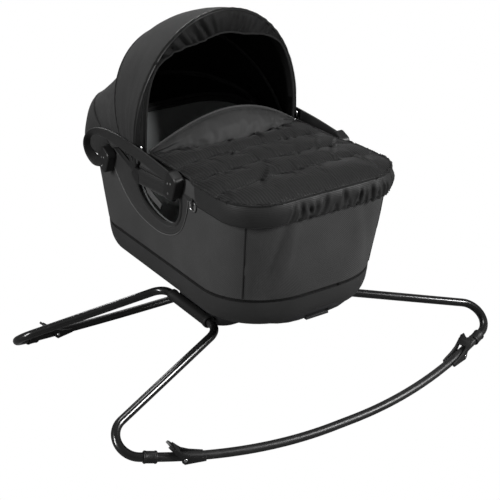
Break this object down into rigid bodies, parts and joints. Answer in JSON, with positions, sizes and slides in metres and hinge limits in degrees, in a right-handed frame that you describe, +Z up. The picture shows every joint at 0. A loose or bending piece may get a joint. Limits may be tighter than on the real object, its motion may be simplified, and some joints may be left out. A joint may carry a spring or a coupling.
{
  "type": "travel bassinet",
  "caption": "Lift-off fabric bassinet with folding hood and quilted boot, on a swivel dock carried by a rocking stand of bent tube with flip-down feet",
  "frame": {"origin": "on the floor, under the middle of the whole object", "axes": "+Z up, +X to the right across the tub, -Y towards the foot end of the tub"},
  "size_m": [1.0232, 0.8856, 0.8669],
  "materials": {
    "gloss_black_tube": "gloss black powder coat on bent steel tube",
    "satin_rail_tube": "satin black powder coat, a little worn along the top",
    "black_plastic": "moulded black plastic with a fine grain",
    "hub_plastic": "moulded blue-black plastic, half matt",
    "tray_plastic": "moulded charcoal plastic, fine leather grain",
    "bright_steel": "plated steel wire and pins",
    "rim_steel": "plain steel tube inside the rim",
    "tub_fabric": "charcoal plain weave over a stiff board",
    "patch_fabric": "black laminated cloth with a bound edge",
    "strap_webbing": "black woven webbing",
    "grip_foam": "black foam grip sleeve",
    "liner_fabric": "grey brushed lining",
    "mattress_fabric": "light grey quilted cotton",
    "quilt_fabric": "black quilted cloth with a ribbed weave",
    "canopy_fabric": "black plain weave with piped seams"
  },
  "bodies": {
    "stand": {"leg_tube_left": "gloss_black_tube", "leg_tube_right": "gloss_black_tube", "hub_sleeve_left": "black_plastic", "hub_sleeve_right": "black_plastic", "rocker_rail_front": "satin_rail_tube", "rocker_rail_rear": "satin_rail_tube", "rail_collar_front_left": "black_plastic", "rail_collar_front_right": "black_plastic", "rail_collar_rear_left": "black_plastic", "rail_collar_rear_right": "black_plastic", "foot_pin_front_left": "bright_steel", "foot_pin_front_right": "bright_steel", "foot_pin_rear_left": "bright_steel", "foot_pin_rear_right": "bright_steel", "hub_body": "hub_plastic", "bearing_ring": "hub_plastic"},
    "turntable": {"turntable": "hub_plastic"},
    "bassinet": {"dock_dome": "hub_plastic", "base_tray": "tray_plastic", "tub_lip": "black_plastic", "tub_wall": "tub_fabric", "rim_tube": "rim_steel", "inner_liner": "liner_fabric", "mattress": "mattress_fabric", "window_patch_left": "patch_fabric", "window_patch_right": "patch_fabric", "grip_bar_left": "grip_foam", "grip_bar_right": "grip_foam", "strap_bracket_foot_left": "black_plastic", "strap_bracket_foot_right": "black_plastic", "strap_bracket_head_left": "black_plastic", "strap_bracket_head_right": "black_plastic", "carry_strap_left": "strap_webbing", "carry_strap_right": "strap_webbing", "boot_cover": "quilt_fabric", "boot_flap": "quilt_fabric", "canopy_pivot_left": "black_plastic", "canopy_pivot_right": "black_plastic", "canopy_bow_rear": "black_plastic", "canopy_panel_rear": "canopy_fabric"},
    "dock_paddle": {"dock_paddle": "hub_plastic"},
    "canopy_middle": {"canopy_bow_middle": "black_plastic", "canopy_panel_middle": "canopy_fabric"},
    "canopy_front": {"canopy_bow_front": "black_plastic", "canopy_panel_front": "canopy_fabric", "canopy_visor": "canopy_fabric"},
    "rocker_foot_front_left": {"rocker_foot_front_left": "black_plastic"},
    "rocker_foot_front_right": {"rocker_foot_front_right": "black_plastic"},
    "rocker_foot_rear_left": {"rocker_foot_rear_left": "black_plastic"},
    "rocker_foot_rear_right": {"rocker_foot_rear_right": "black_plastic"},
    "wire_ring_foot_left": {"wire_ring_foot_left": "bright_steel"},
    "wire_ring_foot_right": {"wire_ring_foot_right": "bright_steel"},
    "wire_ring_head_left": {"wire_ring_head_left": "bright_steel"},
    "wire_ring_head_right": {"wire_ring_head_right": "bright_steel"}
  },
  "joints": [
    {"name": "swivel", "type": "hinge", "parent": "stand", "child": "turntable", "pos_m": [0, -0.05332, 0.21009], "axis": [0, 0, 1], "continuous": true},
    {"name": "lift_off", "type": "slide", "parent": "turntable", "child": "bassinet", "axis": [0, 0, 1], "range_m": [0, 0.15]},
    {"name": "release_paddle", "type": "hinge", "parent": "bassinet", "child": "dock_paddle", "pos_m": [0, -0.29622, 0.23919], "axis": [1, 0, 0], "range_deg": [0, 25], "stiffness_Nm_per_rad": 0.1, "springref_deg": -20.05},
    {"name": "canopy_fold", "type": "hinge", "parent": "bassinet", "child": "canopy_middle", "pos_m": [0, 0.08668, 0.49408], "axis": [1, 0, 0], "range_deg": [-24, 0], "deforming": ["canopy_panel_middle"]},
    {"name": "canopy_front_fold", "type": "hinge", "parent": "canopy_middle", "child": "canopy_front", "pos_m": [0, 0.08668, 0.49408], "axis": [1, 0, 0], "range_deg": [-34.2, 0], "deforming": ["canopy_panel_front"]},
    {"name": "foot_front_left", "type": "hinge", "parent": "stand", "child": "rocker_foot_front_left", "pos_m": [-0.381, -0.38607, 0.04197], "axis": [0.2509, 0.968, 0], "range_deg": [0, 65]},
    {"name": "foot_front_right", "type": "hinge", "parent": "stand", "child": "rocker_foot_front_right", "pos_m": [0.381, -0.38607, 0.04197], "axis": [0.2509, -0.968, 0], "range_deg": [0, 65]},
    {"name": "foot_rear_left", "type": "hinge", "parent": "stand", "child": "rocker_foot_rear_left", "pos_m": [-0.381, 0.27944, 0.04197], "axis": [-0.2509, 0.968, 0], "range_deg": [0, 65]},
    {"name": "foot_rear_right", "type": "hinge", "parent": "stand", "child": "rocker_foot_rear_right", "pos_m": [0.381, 0.27944, 0.04197], "axis": [-0.2509, -0.968, 0], "range_deg": [0, 65]},
    {"name": "ring_foot_left", "type": "hinge", "parent": "bassinet", "child": "wire_ring_foot_left", "pos_m": [-0.21176, -0.17232, 0.50684], "axis": [0, 1, 0], "range_deg": [0, 75]},
    {"name": "ring_foot_right", "type": "hinge", "parent": "bassinet", "child": "wire_ring_foot_right", "pos_m": [0.21176, -0.17232, 0.50684], "axis": [0, -1, 0], "range_deg": [0, 75]},
    {"name": "ring_head_left", "type": "hinge", "parent": "bassinet", "child": "wire_ring_head_left", "pos_m": [-0.21224, 0.26468, 0.47384], "axis": [0, 1, 0], "range_deg": [0, 30]},
    {"name": "ring_head_right", "type": "hinge", "parent": "bassinet", "child": "wire_ring_head_right", "pos_m": [0.21224, 0.26468, 0.47384], "axis": [0, -1, 0], "range_deg": [0, 30]}
  ],
  "couplings": [
    {"joint": "canopy_front_fold", "follows": "canopy_fold", "ratio": 1.4167}
  ]
}
